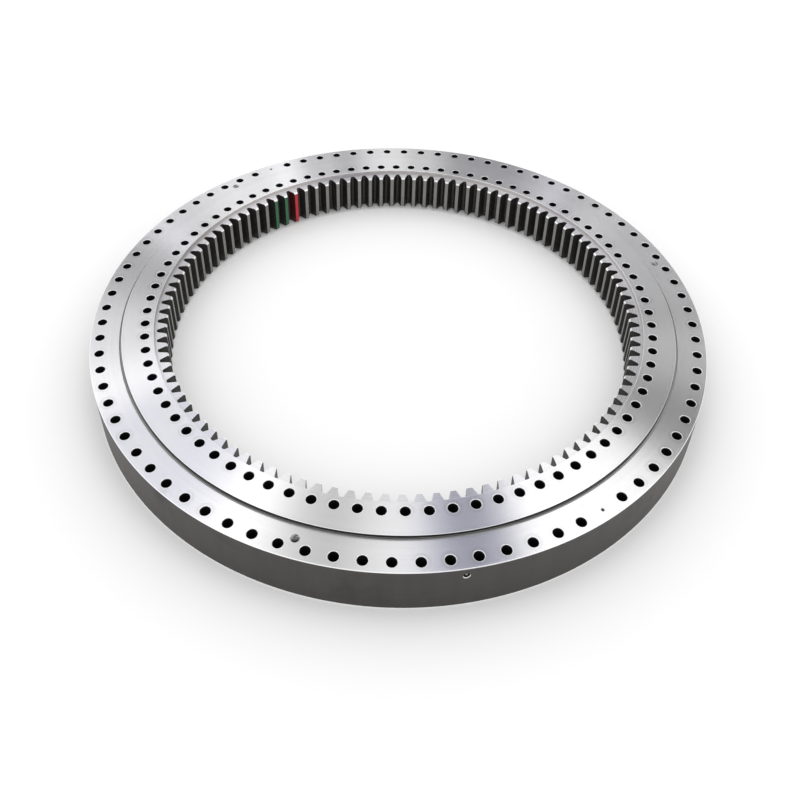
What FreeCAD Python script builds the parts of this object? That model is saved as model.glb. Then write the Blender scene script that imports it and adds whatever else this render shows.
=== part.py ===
import FreeCAD, Part
import math
import os

# Slewing ring bearing: an ungeared outer ring and an internally geared inner ring on two ball rows.
# Units are millimetres. The origin is on the bearing axis in the plane of the outer ring's
# bottom face. +Z runs up the axis, and +X passes through the upper row's filler plug.

# ---------------------------------------------------------------- rings
RING_HEIGHT = 150.0
RING_OFFSET = 10.0
OUTER_RING_RADIUS = 961.0
OUTER_RING_BORE_RADIUS = 874.5
INNER_RING_RADIUS = 867.5
RIM_CHAMFER = 2.0
EDGE_CHAMFER = 1.0

OUTER_RING_TOP = RING_HEIGHT
INNER_RING_BOTTOM = RING_OFFSET
INNER_RING_TOP = RING_OFFSET + RING_HEIGHT

# ---------------------------------------------------------------- register step in the bore
REGISTER_RADIUS = 772.0
REGISTER_DEPTH = 14.0
GEAR_TOP = INNER_RING_TOP - REGISTER_DEPTH

# ---------------------------------------------------------------- bolt holes
BOLT_POSITIONS = 84
BOLT_HOLE_RADIUS = 13.0
BOLT_HOLE_CHAMFER = 2.0
OUTER_BOLT_CIRCLE_RADIUS = 932.5
OUTER_BOLT_FIRST_ANGLE = 0.0
OUTER_POSITIONS_WITHOUT_HOLE = (0, 42)
INNER_BOLT_CIRCLE_RADIUS = 799.0
BOLT_PITCH_ANGLE = 360.0 / BOLT_POSITIONS
INNER_BOLT_FIRST_ANGLE = BOLT_PITCH_ANGLE / 2

# ---------------------------------------------------------------- lifting threads, top face
LIFTING_CIRCLE_RADIUS = 908.0
LIFTING_THREADS = 3
LIFTING_FIRST_ANGLE = 2.5 * BOLT_PITCH_ANGLE
LIFTING_THREAD_MINOR_RADIUS = 8.65
LIFTING_THREAD_MAJOR_RADIUS = 10.0
LIFTING_COUNTERSINK = 1.5
LIFTING_THREAD_DEPTH = 34.0
DRILL_POINT_DEPTH = 3.0

# ---------------------------------------------------------------- internal gear
GEAR_MODULE = 14.0
GEAR_TEETH = 107
GEAR_PRESSURE_ANGLE = 20.0
GEAR_TIP_RADIUS = 735.0
GEAR_ROOT_RADIUS = 765.0
GEAR_ROOT_FILLET = 3.5
GEAR_TIP_CHAMFER = 4.5
GEAR_FIRST_SPACE_ANGLE = 1.06
GEAR_BACKLASH = 0.4
GEAR_CUTTER_INNER_RADIUS = 730.0
FLANK_POINTS = 5

# ---------------------------------------------------------------- ball rows and raceways
BALL_RADIUS = 20.0
BALLS_PER_ROW = 96
BALL_PITCH_RADIUS = 871.0
BALL_CLEARANCE = 0.7
RACEWAY_RADIUS = 21.2
CONTACT_ANGLE = 45.0
UPPER_ROW_HEIGHT = 109.0
LOWER_ROW_HEIGHT = 51.0
FIRST_BALL_ANGLE = 0.0

# ---------------------------------------------------------------- cages
CAGE_SEGMENTS = 6
CAGE_THICKNESS = 4.0
CAGE_HALF_HEIGHT = 26.0
CAGE_POCKET_RADIUS = 20.6
CAGE_END_GAP = 1.6

# ---------------------------------------------------------------- filler plugs and their taper pins
PLUG_RADIUS = 23.0
PLUG_FIT_CLEARANCE = 0.05
UPPER_PLUG_POSITION = 0
LOWER_PLUG_POSITION = 42
PIN_TOP_RADIUS = 5.0
PIN_TAPER = 0.01
PIN_FIT_CLEARANCE = 0.05
PIN_SINK = 0.3
PIN_OVERRUN = 8.0
PIN_THREAD_RADIUS = 2.5
PIN_THREAD_DEPTH = 14.0

# ---------------------------------------------------------------- seals
SEAL_GROOVE_DEPTH = 5.0
SEAL_GROOVE_HALF_HEIGHT = 3.0
SEAL_FOOT_CLEARANCE = 0.1
SEAL_LIP_CLEARANCE = 0.4
SEAL_BODY_CLEARANCE = 1.4
SEAL_BODY_THICK = 8.0
SEAL_LIP_THICK = 2.0
TOP_SEAL_HEIGHT = 142.0
BOTTOM_SEAL_HEIGHT = 18.0

# ---------------------------------------------------------------- grease ports and nipples
GREASE_PORTS = 4
GREASE_FIRST_ANGLE = 36.5 * BOLT_PITCH_ANGLE
GREASE_PORT_HEIGHT = 121.0
GREASE_RECESS_RADIUS = 8.5
GREASE_RECESS_DEPTH = 14.0
GREASE_RECESS_CHAMFER = 1.0
GREASE_THREAD_RADIUS = 5.0
GREASE_THREAD_DEPTH = 11.0
GREASE_CHANNEL_RADIUS = 3.0
NIPPLE_THREAD_CLEARANCE = 0.05
NIPPLE_THREAD_LENGTH = 8.0
NIPPLE_HEX_RADIUS = 6.2
NIPPLE_HEX_HEIGHT = 4.0
NIPPLE_NECK_RADIUS = 2.4
NIPPLE_NECK_HEIGHT = 3.0
NIPPLE_HEAD_RADIUS = 3.3
NIPPLE_HEAD_HEIGHT = 4.0
NIPPLE_INLET_RADIUS = 0.9

AXIS = FreeCAD.Vector(0, 0, 1)
CENTRE = FreeCAD.Vector(0, 0, 0)


def section_point(radius, height):
    """Point of a ring's cross-section in the XZ plane."""
    return FreeCAD.Vector(radius, 0, height)


def polar_point(radius, angle, height=0.0):
    """Point at a radius, an angle in radians and a height."""
    return FreeCAD.Vector(radius * math.cos(angle), radius * math.sin(angle), height)


def section_edges(points):
    """Straight edges that join the points of a cross-section in turn."""
    edges = []
    for start, end in zip(points, points[1:]):
        edges.append(Part.makeLine(start, end))
    return edges


def revolve_edges(edges):
    """Full ring from the closed loop of edges of its cross-section."""
    face = Part.Face(Part.Wire(edges))
    return face.revolve(CENTRE, AXIS, 360)


def revolve_section(points):
    """Full ring from the corners of its cross-section."""
    return revolve_edges(section_edges(points + [points[0]]))


def turned(shape, degrees):
    """Copy of a shape turned about the bearing axis."""
    copy = shape.copy()
    copy.rotate(CENTRE, AXIS, degrees)
    return copy


def cut_all(body, tools):
    """Body after all the separate tools have been cut away."""
    return body.cut(Part.makeCompound(tools))


def write(shape, node):
    """Write one node's solids."""
    shape.exportStep(os.path.join("parts", node + ".step"))


def raceway_section(side, face_radius, row_height):
    """Pointed-arch groove for four-point contact: its lower lip, apex and upper lip, and two arcs.

    The side is +1 for the outer ring's groove and -1 for the inner ring's groove.
    """
    contact = math.radians(CONTACT_ANGLE)
    shift = RACEWAY_RADIUS - BALL_RADIUS - BALL_CLEARANCE
    shift_radial = side * shift * math.cos(contact)
    shift_axial = shift * math.sin(contact)
    centre_radius = BALL_PITCH_RADIUS - shift_radial
    apex_reach = math.sqrt(RACEWAY_RADIUS ** 2 - shift_axial ** 2)
    lip_offset = face_radius - centre_radius
    lip_reach = math.sqrt(RACEWAY_RADIUS ** 2 - lip_offset ** 2) - shift_axial
    apex = section_point(centre_radius + side * apex_reach, row_height)
    lower_lip = section_point(face_radius, row_height - lip_reach)
    upper_lip = section_point(face_radius, row_height + lip_reach)
    mid_radius = centre_radius + side * RACEWAY_RADIUS * math.cos(contact)
    mid_height = RACEWAY_RADIUS * math.sin(contact) - shift_axial
    lower_mid = section_point(mid_radius, row_height - mid_height)
    upper_mid = section_point(mid_radius, row_height + mid_height)
    lower_arc = Part.Arc(lower_lip, lower_mid, apex).toShape()
    upper_arc = Part.Arc(apex, upper_mid, upper_lip).toShape()
    return lower_lip, upper_lip, [lower_arc, upper_arc]


def seal_groove_points(seal_height):
    """Corners of the rectangular groove that holds a seal's foot, from its lower mouth edge up."""
    mouth = OUTER_RING_BORE_RADIUS
    floor = OUTER_RING_BORE_RADIUS + SEAL_GROOVE_DEPTH
    low = seal_height - SEAL_GROOVE_HALF_HEIGHT
    high = seal_height + SEAL_GROOVE_HALF_HEIGHT
    return [
        section_point(mouth, low),
        section_point(floor, low),
        section_point(floor, high),
        section_point(mouth, high),
    ]


def make_outer_blank():
    """Outer ring with its raceways and seal grooves, before any hole."""
    bore = OUTER_RING_BORE_RADIUS
    rim = OUTER_RING_RADIUS
    low_lip, low_top, low_arcs = raceway_section(1, bore, LOWER_ROW_HEIGHT)
    high_lip, high_top, high_arcs = raceway_section(1, bore, UPPER_ROW_HEIGHT)
    edges = section_edges(
        [section_point(bore, EDGE_CHAMFER)] + seal_groove_points(BOTTOM_SEAL_HEIGHT) + [low_lip]
    )
    edges += low_arcs
    edges += section_edges([low_top, high_lip])
    edges += high_arcs
    edges += section_edges(
        [high_top]
        + seal_groove_points(TOP_SEAL_HEIGHT)
        + [
            section_point(bore, OUTER_RING_TOP - EDGE_CHAMFER),
            section_point(bore + EDGE_CHAMFER, OUTER_RING_TOP),
            section_point(rim - RIM_CHAMFER, OUTER_RING_TOP),
            section_point(rim, OUTER_RING_TOP - RIM_CHAMFER),
            section_point(rim, RIM_CHAMFER),
            section_point(rim - RIM_CHAMFER, 0),
            section_point(bore + EDGE_CHAMFER, 0),
            section_point(bore, EDGE_CHAMFER),
        ]
    )
    return revolve_edges(edges)


def make_inner_blank():
    """Inner ring turned to its tip circle, with its raceways and the register step in the bore."""
    face = INNER_RING_RADIUS
    low_lip, low_top, low_arcs = raceway_section(-1, face, LOWER_ROW_HEIGHT)
    high_lip, high_top, high_arcs = raceway_section(-1, face, UPPER_ROW_HEIGHT)
    edges = section_edges([section_point(face, INNER_RING_BOTTOM + EDGE_CHAMFER), low_lip])
    edges += low_arcs
    edges += section_edges([low_top, high_lip])
    edges += high_arcs
    edges += section_edges(
        [
            high_top,
            section_point(face, INNER_RING_TOP - EDGE_CHAMFER),
            section_point(face - EDGE_CHAMFER, INNER_RING_TOP),
            section_point(REGISTER_RADIUS + EDGE_CHAMFER, INNER_RING_TOP),
            section_point(REGISTER_RADIUS, INNER_RING_TOP - EDGE_CHAMFER),
            section_point(REGISTER_RADIUS, GEAR_TOP),
            section_point(GEAR_TIP_RADIUS + GEAR_TIP_CHAMFER, GEAR_TOP),
            section_point(GEAR_TIP_RADIUS, GEAR_TOP - GEAR_TIP_CHAMFER),
            section_point(GEAR_TIP_RADIUS, INNER_RING_BOTTOM + GEAR_TIP_CHAMFER),
            section_point(GEAR_TIP_RADIUS + GEAR_TIP_CHAMFER, INNER_RING_BOTTOM),
            section_point(face - EDGE_CHAMFER, INNER_RING_BOTTOM),
            section_point(face, INNER_RING_BOTTOM + EDGE_CHAMFER),
        ]
    )
    return revolve_edges(edges)


def bolt_hole_tool(bottom, top):
    """Through drill with a countersink at each face, standing on the bearing axis."""
    wide = BOLT_HOLE_RADIUS + BOLT_HOLE_CHAMFER
    return revolve_section([
        section_point(0, bottom),
        section_point(wide, bottom),
        section_point(BOLT_HOLE_RADIUS, bottom + BOLT_HOLE_CHAMFER),
        section_point(BOLT_HOLE_RADIUS, top - BOLT_HOLE_CHAMFER),
        section_point(wide, top),
        section_point(0, top),
    ])


def bolt_hole_tools(circle_radius, first_angle, bottom, top, skipped=()):
    """One drill for each position of a bolt circle that carries a hole."""
    tool = bolt_hole_tool(bottom, top)
    tool.translate(FreeCAD.Vector(circle_radius, 0, 0))
    tools = []
    for position in range(BOLT_POSITIONS):
        if position not in skipped:
            tools.append(turned(tool, first_angle + position * BOLT_PITCH_ANGLE))
    return tools


def lifting_thread_tools():
    """Blind holes for eye bolts in the outer ring's top face."""
    mouth = LIFTING_THREAD_MAJOR_RADIUS + LIFTING_COUNTERSINK
    mouth_depth = mouth - LIFTING_THREAD_MINOR_RADIUS
    floor = OUTER_RING_TOP - LIFTING_THREAD_DEPTH
    tool = revolve_section([
        section_point(0, floor - DRILL_POINT_DEPTH),
        section_point(LIFTING_THREAD_MINOR_RADIUS, floor),
        section_point(LIFTING_THREAD_MINOR_RADIUS, OUTER_RING_TOP - mouth_depth),
        section_point(mouth, OUTER_RING_TOP),
        section_point(0, OUTER_RING_TOP),
    ])
    tool.translate(FreeCAD.Vector(LIFTING_CIRCLE_RADIUS, 0, 0))
    step = 360.0 / LIFTING_THREADS
    return [turned(tool, LIFTING_FIRST_ANGLE + hole * step) for hole in range(LIFTING_THREADS)]


def radial(shape, height, angle):
    """Turn a shape built along +Z into one along a radius at a height and an angle.

    The shape's own height becomes the distance from the bearing axis.
    """
    copy = shape.copy()
    copy.rotate(CENTRE, FreeCAD.Vector(0, 1, 0), 90)
    copy.translate(FreeCAD.Vector(0, 0, height))
    copy.rotate(CENTRE, AXIS, angle)
    return copy


def plug_angle(position):
    """Angle of a filler plug that takes the place of one bolt hole."""
    return OUTER_BOLT_FIRST_ANGLE + position * BOLT_PITCH_ANGLE


def plug_cylinder(radius, row_height, position):
    """Radial cylinder from the ball row out past the rim."""
    start = BALL_PITCH_RADIUS
    length = OUTER_RING_RADIUS + RIM_CHAMFER - start
    cylinder = Part.makeCylinder(radius, length, FreeCAD.Vector(0, 0, start), AXIS)
    return radial(cylinder, row_height, plug_angle(position))


def pin_bottom(row_height):
    """Lower end of the taper pin that crosses a filler plug."""
    return row_height - PLUG_RADIUS - PIN_OVERRUN


def pin_cone(row_height, position, clearance, top):
    """Taper pin body, or the reamed hole for it when it has a clearance."""
    low = pin_bottom(row_height) - clearance
    length = top - low
    cone = Part.makeCone(
        PIN_TOP_RADIUS + clearance - PIN_TAPER * length,
        PIN_TOP_RADIUS + clearance,
        length,
        FreeCAD.Vector(OUTER_BOLT_CIRCLE_RADIUS, 0, low),
        AXIS,
    )
    return turned(cone, plug_angle(position))


def make_taper_pin(row_height, position):
    """Taper pin with a tapped hole in its top end for drawing it out."""
    top = OUTER_RING_TOP - PIN_SINK
    pin = pin_cone(row_height, position, 0.0, top)
    thread = Part.makeCylinder(
        PIN_THREAD_RADIUS,
        PIN_THREAD_DEPTH,
        FreeCAD.Vector(OUTER_BOLT_CIRCLE_RADIUS, 0, top - PIN_THREAD_DEPTH),
        AXIS,
    )
    return pin.cut(turned(thread, plug_angle(position)))


def grease_angles():
    """Angles of the grease ports round the rim."""
    return [GREASE_FIRST_ANGLE + port * 360.0 / GREASE_PORTS for port in range(GREASE_PORTS)]


def grease_port_tool():
    """Sunk port from the rim: recess, thread and a channel into the upper raceway."""
    seat = OUTER_RING_RADIUS - GREASE_RECESS_DEPTH
    thread_end = seat - GREASE_THREAD_DEPTH
    mouth = GREASE_RECESS_RADIUS + GREASE_RECESS_CHAMFER
    return revolve_section([
        section_point(0, OUTER_RING_BORE_RADIUS),
        section_point(GREASE_CHANNEL_RADIUS, OUTER_RING_BORE_RADIUS),
        section_point(GREASE_CHANNEL_RADIUS, thread_end),
        section_point(GREASE_THREAD_RADIUS, thread_end),
        section_point(GREASE_THREAD_RADIUS, seat),
        section_point(GREASE_RECESS_RADIUS, seat),
        section_point(GREASE_RECESS_RADIUS, OUTER_RING_RADIUS - GREASE_RECESS_CHAMFER),
        section_point(mouth, OUTER_RING_RADIUS),
        section_point(mouth, OUTER_RING_RADIUS + RIM_CHAMFER),
        section_point(0, OUTER_RING_RADIUS + RIM_CHAMFER),
    ])


def make_nipple():
    """Grease nipple along +Z: threaded shank, hexagon, neck and rounded head, with an inlet."""
    seat = OUTER_RING_RADIUS - GREASE_RECESS_DEPTH
    hex_top = seat + NIPPLE_HEX_HEIGHT
    neck_top = hex_top + NIPPLE_NECK_HEIGHT
    head_top = neck_top + NIPPLE_HEAD_HEIGHT
    shank_radius = GREASE_THREAD_RADIUS - NIPPLE_THREAD_CLEARANCE
    stem = revolve_section([
        section_point(0, seat - NIPPLE_THREAD_LENGTH),
        section_point(shank_radius, seat - NIPPLE_THREAD_LENGTH),
        section_point(shank_radius, hex_top),
        section_point(NIPPLE_NECK_RADIUS, neck_top),
        section_point(NIPPLE_HEAD_RADIUS, neck_top + NIPPLE_HEAD_HEIGHT / 3),
        section_point(NIPPLE_HEAD_RADIUS, neck_top + NIPPLE_HEAD_HEIGHT * 2 / 3),
        section_point(NIPPLE_NECK_RADIUS, head_top),
        section_point(0, head_top),
    ])
    corners = [polar_point(NIPPLE_HEX_RADIUS, math.radians(60 * side), seat) for side in range(7)]
    hexagon = Part.Face(Part.makePolygon(corners)).extrude(FreeCAD.Vector(0, 0, NIPPLE_HEX_HEIGHT))
    inlet = Part.makeCylinder(
        NIPPLE_INLET_RADIUS, NIPPLE_HEAD_HEIGHT, FreeCAD.Vector(0, 0, neck_top), AXIS
    )
    return stem.fuse(hexagon).cut(inlet)


def involute(angle):
    """Involute function of a pressure angle in radians."""
    return math.tan(angle) - angle


def space_half_angle(radius):
    """Half of the angle that a tooth space of the internal gear spans at a radius."""
    pitch_radius = GEAR_MODULE * GEAR_TEETH / 2
    pressure = math.radians(GEAR_PRESSURE_ANGLE)
    base_radius = pitch_radius * math.cos(pressure)
    local = math.acos(base_radius / radius)
    at_pitch = math.pi / (2 * GEAR_TEETH) + GEAR_BACKLASH / (2 * pitch_radius)
    return at_pitch + involute(pressure) - involute(local)


def make_tooth_space():
    """Prism of one tooth space, centred on +X, from inside the tip circle to the root."""
    bottom = INNER_RING_BOTTOM
    fillet_centre_radius = GEAR_ROOT_RADIUS - GEAR_ROOT_FILLET
    half_width = fillet_centre_radius * space_half_angle(fillet_centre_radius)
    wider = (fillet_centre_radius - 1) * space_half_angle(fillet_centre_radius - 1)
    flank_lean = math.atan(wider - half_width)
    centre_offset = half_width - GEAR_ROOT_FILLET / math.cos(flank_lean)
    centre_angle = centre_offset / fillet_centre_radius
    fillet_start_radius = fillet_centre_radius + GEAR_ROOT_FILLET * math.sin(flank_lean)
    mid_lean = (flank_lean + math.pi / 2) / 2
    mid_radius = fillet_centre_radius + GEAR_ROOT_FILLET * math.sin(mid_lean)
    mid_angle = centre_angle + GEAR_ROOT_FILLET * math.cos(mid_lean) / mid_radius

    step = (fillet_start_radius - GEAR_CUTTER_INNER_RADIUS) / (FLANK_POINTS - 1)
    radii = [GEAR_CUTTER_INNER_RADIUS + step * point for point in range(FLANK_POINTS)]
    sides = []
    for sign in (-1, 1):
        flank = Part.BSplineCurve()
        flank.interpolate([polar_point(r, sign * space_half_angle(r), bottom) for r in radii])
        fillet = Part.Arc(
            polar_point(fillet_start_radius, sign * space_half_angle(fillet_start_radius), bottom),
            polar_point(mid_radius, sign * mid_angle, bottom),
            polar_point(GEAR_ROOT_RADIUS, sign * centre_angle, bottom),
        )
        sides.append((flank.toShape(), fillet.toShape()))
    mouth_angle = space_half_angle(GEAR_CUTTER_INNER_RADIUS)
    mouth = Part.makeLine(
        polar_point(GEAR_CUTTER_INNER_RADIUS, mouth_angle, bottom),
        polar_point(GEAR_CUTTER_INNER_RADIUS, -mouth_angle, bottom),
    )
    root = Part.Arc(
        polar_point(GEAR_ROOT_RADIUS, -centre_angle, bottom),
        polar_point(GEAR_ROOT_RADIUS, 0, bottom),
        polar_point(GEAR_ROOT_RADIUS, centre_angle, bottom),
    ).toShape()
    low_side, high_side = sides
    wire = Part.Wire(Part.__sortEdges__([mouth, *low_side, root, *high_side]))
    return Part.Face(wire).extrude(FreeCAD.Vector(0, 0, GEAR_TOP - INNER_RING_BOTTOM))


def tooth_space_tools():
    """All the tooth spaces of the internal gear."""
    space = make_tooth_space()
    pitch = 360.0 / GEAR_TEETH
    return [turned(space, GEAR_FIRST_SPACE_ANGLE + tooth * pitch) for tooth in range(GEAR_TEETH)]


def make_ball_row(row_height):
    """All the balls of one row as separate solids."""
    ball = Part.makeSphere(BALL_RADIUS, FreeCAD.Vector(BALL_PITCH_RADIUS, 0, row_height))
    pitch = 360.0 / BALLS_PER_ROW
    balls = [turned(ball, FIRST_BALL_ANGLE + number * pitch) for number in range(BALLS_PER_ROW)]
    return Part.makeCompound(balls)


def make_cage_segment(row_height):
    """One strip segment of a cage, with a round pocket for each of its balls."""
    pockets = BALLS_PER_ROW // CAGE_SEGMENTS
    pitch = 360.0 / BALLS_PER_ROW
    gap_angle = math.degrees(CAGE_END_GAP / BALL_PITCH_RADIUS)
    start_angle = FIRST_BALL_ANGLE - pitch / 2 + gap_angle / 2
    inner = BALL_PITCH_RADIUS - CAGE_THICKNESS / 2
    outer = BALL_PITCH_RADIUS + CAGE_THICKNESS / 2
    low = row_height - CAGE_HALF_HEIGHT
    high = row_height + CAGE_HALF_HEIGHT
    section = Part.Face(Part.makePolygon([
        section_point(inner, low),
        section_point(outer, low),
        section_point(outer, high),
        section_point(inner, high),
        section_point(inner, low),
    ]))
    strip = turned(section, start_angle).revolve(CENTRE, AXIS, pockets * pitch - gap_angle)
    cutter_start = inner - CAGE_THICKNESS
    cutter = Part.makeCylinder(
        CAGE_POCKET_RADIUS, 3 * CAGE_THICKNESS, FreeCAD.Vector(0, 0, cutter_start), AXIS
    )
    cutters = []
    for pocket in range(pockets):
        cutters.append(radial(cutter, row_height, FIRST_BALL_ANGLE + pocket * pitch))
    return cut_all(strip, cutters)


def make_seal(seal_height, outward):
    """Rubber ring seal: a foot in the outer ring's groove, a body in the gap and a thin lip.

    Outward is +1 when the lip side faces up and -1 when it faces down.
    """
    foot_floor = OUTER_RING_BORE_RADIUS + SEAL_GROOVE_DEPTH - SEAL_FOOT_CLEARANCE
    foot_half = SEAL_GROOVE_HALF_HEIGHT - SEAL_FOOT_CLEARANCE
    body_outer = OUTER_RING_BORE_RADIUS - SEAL_FOOT_CLEARANCE
    body_inner = INNER_RING_RADIUS + SEAL_BODY_CLEARANCE
    lip_inner = INNER_RING_RADIUS + SEAL_LIP_CLEARANCE
    body_low = -foot_half
    body_high = SEAL_BODY_THICK - foot_half
    lip_low = body_high - 2 * SEAL_LIP_THICK
    lip_high = body_high - SEAL_LIP_THICK
    outline = [
        (foot_floor, -foot_half),
        (foot_floor, foot_half),
        (body_outer, foot_half),
        (body_outer, body_high),
        (body_inner, body_high),
        (lip_inner, lip_high),
        (lip_inner, lip_high - SEAL_LIP_THICK / 2),
        (body_inner, lip_low),
        (body_inner, body_low),
    ]
    return revolve_section([
        section_point(radius, seal_height + outward * offset) for radius, offset in outline
    ])


def build():
    """Build every piece and write it to its own file."""
    os.makedirs("parts", exist_ok=True)

    rows = (
        ("upper", UPPER_ROW_HEIGHT, UPPER_PLUG_POSITION),
        ("lower", LOWER_ROW_HEIGHT, LOWER_PLUG_POSITION),
    )

    outer_blank = make_outer_blank()
    outer_tools = bolt_hole_tools(
        OUTER_BOLT_CIRCLE_RADIUS,
        OUTER_BOLT_FIRST_ANGLE,
        0.0,
        OUTER_RING_TOP,
        OUTER_POSITIONS_WITHOUT_HOLE,
    )
    outer_tools += lifting_thread_tools()
    port = grease_port_tool()
    for angle in grease_angles():
        outer_tools.append(radial(port, GREASE_PORT_HEIGHT, angle))

    plug_holes = []
    for name, row_height, position in rows:
        pin_hole = pin_cone(row_height, position, PIN_FIT_CLEARANCE, OUTER_RING_TOP)
        plug_hole = plug_cylinder(PLUG_RADIUS + PLUG_FIT_CLEARANCE, row_height, position)
        plug_holes.append(plug_hole)
        plug_holes.append(pin_hole)
        plug = outer_blank.common(plug_cylinder(PLUG_RADIUS, row_height, position)).cut(pin_hole)
        write(plug, name + "_filler_plug")
        write(make_taper_pin(row_height, position), name + "_plug_taper_pin")

    outer_ring = cut_all(outer_blank, outer_tools)
    for hole in plug_holes:
        outer_ring = outer_ring.cut(hole)
    write(outer_ring, "fixed_outer_ring")

    inner_tools = bolt_hole_tools(
        INNER_BOLT_CIRCLE_RADIUS, INNER_BOLT_FIRST_ANGLE, INNER_RING_BOTTOM, INNER_RING_TOP
    )
    inner_ring = cut_all(make_inner_blank(), inner_tools + tooth_space_tools())
    write(inner_ring, "inner_gear_ring")

    for name, row_height, position in rows:
        write(make_ball_row(row_height), name + "_balls")
        segment = make_cage_segment(row_height)
        for number in range(CAGE_SEGMENTS):
            node = "{}_cage_segment_{}".format(name, number + 1)
            write(turned(segment, number * 360.0 / CAGE_SEGMENTS), node)

    write(make_seal(TOP_SEAL_HEIGHT, 1), "top_seal")
    write(make_seal(BOTTOM_SEAL_HEIGHT, -1), "bottom_seal")

    nipple = make_nipple()
    for number, angle in enumerate(grease_angles()):
        write(radial(nipple, GREASE_PORT_HEIGHT, angle), "grease_nipple_{}".format(number + 1))


build()
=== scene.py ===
"""Looks of a double-row slewing ring bearing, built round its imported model.

The two rings, the filler plugs, taper pins, seals and grease nipples are modelled finely and
stand for their CAD nodes. The balls and cage segments keep their CAD meshes and get finishes.
Lengths are in metres, +Z is the bearing axis and +X passes through the upper filler plug.
"""

import logging
import math
from dataclasses import dataclass
from enum import Enum, IntEnum
from typing import Callable

import bmesh
import bpy
from mathutils import Matrix, Vector


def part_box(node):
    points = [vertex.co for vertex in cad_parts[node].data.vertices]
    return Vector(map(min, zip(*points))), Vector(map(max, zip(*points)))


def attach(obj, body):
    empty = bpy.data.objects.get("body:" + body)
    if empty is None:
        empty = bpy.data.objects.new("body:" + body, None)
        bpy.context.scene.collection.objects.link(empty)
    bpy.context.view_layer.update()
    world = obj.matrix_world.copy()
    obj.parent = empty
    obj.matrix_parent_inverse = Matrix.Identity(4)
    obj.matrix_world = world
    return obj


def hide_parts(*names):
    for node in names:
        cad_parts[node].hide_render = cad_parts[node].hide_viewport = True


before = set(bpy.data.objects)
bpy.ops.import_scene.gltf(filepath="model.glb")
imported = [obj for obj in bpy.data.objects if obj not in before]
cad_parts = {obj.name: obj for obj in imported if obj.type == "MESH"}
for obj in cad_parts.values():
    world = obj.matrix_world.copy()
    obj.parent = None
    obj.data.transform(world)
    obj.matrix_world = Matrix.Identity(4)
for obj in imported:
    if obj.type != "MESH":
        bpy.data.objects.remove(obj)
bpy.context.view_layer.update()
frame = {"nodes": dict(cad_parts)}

log = logging.getLogger("slewing_ring")

AXIS = Vector((0.0, 0.0, 1.0))
CENTRE = Vector((0.0, 0.0, 0.0))
Colour = tuple[float, float, float]

SMOOTH_ANGLE = math.radians(24)

# How much of a face's normal lies along the axis, and how near a height counts as equal.
FLAT = 0.999
SLANTED = 0.3
UPRIGHT = 0.2
FACE_GAP = 1e-5


class Body(Enum):
    """The rigid bodies that pieces ride on."""

    OUTER = "outer_ring_body"
    INNER = "inner_ring_body"
    UPPER_BALLS = "upper_ball_row"
    LOWER_BALLS = "lower_ball_row"


class Slot(Enum):
    """The record's material slots."""

    OUTER_STEEL = "outer_ring_steel"
    INNER_STEEL = "inner_ring_steel"
    BALL_STEEL = "ball_steel"
    CAGE = "cage_plastic"
    PIN = "pin_steel"
    SEAL = "seal_rubber"
    PLATED = "plated_steel"


class OuterFace(IntEnum):
    """Kinds of face on the outer ring and its plugs, each named for its finish."""

    OUTER_GROUND_FACE = 0
    # Outer rim, coloured as a painted dark reflection.
    RIM_PAINTED_REFLECTION = 1
    # Walls of holes, bores and recesses, coloured as painted shade.
    SHADED_HOLE_WALL = 2
    # Chamfers, countersink mouths and port lips, coloured as a painted highlight.
    PAINTED_HIGHLIGHT_EDGE = 3
    RACEWAY = 4
    # Bore wall in the seal gap, coloured as painted shade.
    SHADED_WALL = 5
    # Lifting threads, coloured with painted highlight and shade stripes.
    THREAD_PAINTED_STRIPES = 6


class InnerFace(IntEnum):
    """Kinds of face on the inner ring and its gear, each named for its finish."""

    INNER_GROUND_FACE = 0
    # Outward wall beside the seal gap, coloured as painted shade.
    SHADED_WALL = 1
    # Walls of bolt holes, coloured as painted shade.
    SHADED_HOLE_WALL = 2
    # Chamfers and countersink mouths, coloured as a painted highlight.
    PAINTED_HIGHLIGHT_EDGE = 3
    RACEWAY = 4
    TOOTH_END = 5
    # Tooth flanks, coloured as painted shade.
    SHADED_TOOTH_FLANK = 6
    TOOTH_TIP = 7
    RED_PAINT = 8
    GREEN_PAINT = 9
    # Red mark paint on the flank, darkened as painted shade.
    SHADED_RED_PAINT = 10
    SEAL_TRACK = 11
    REGISTER_WALL = 12


# ------------------------------------------------------------------ node wiring


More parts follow.
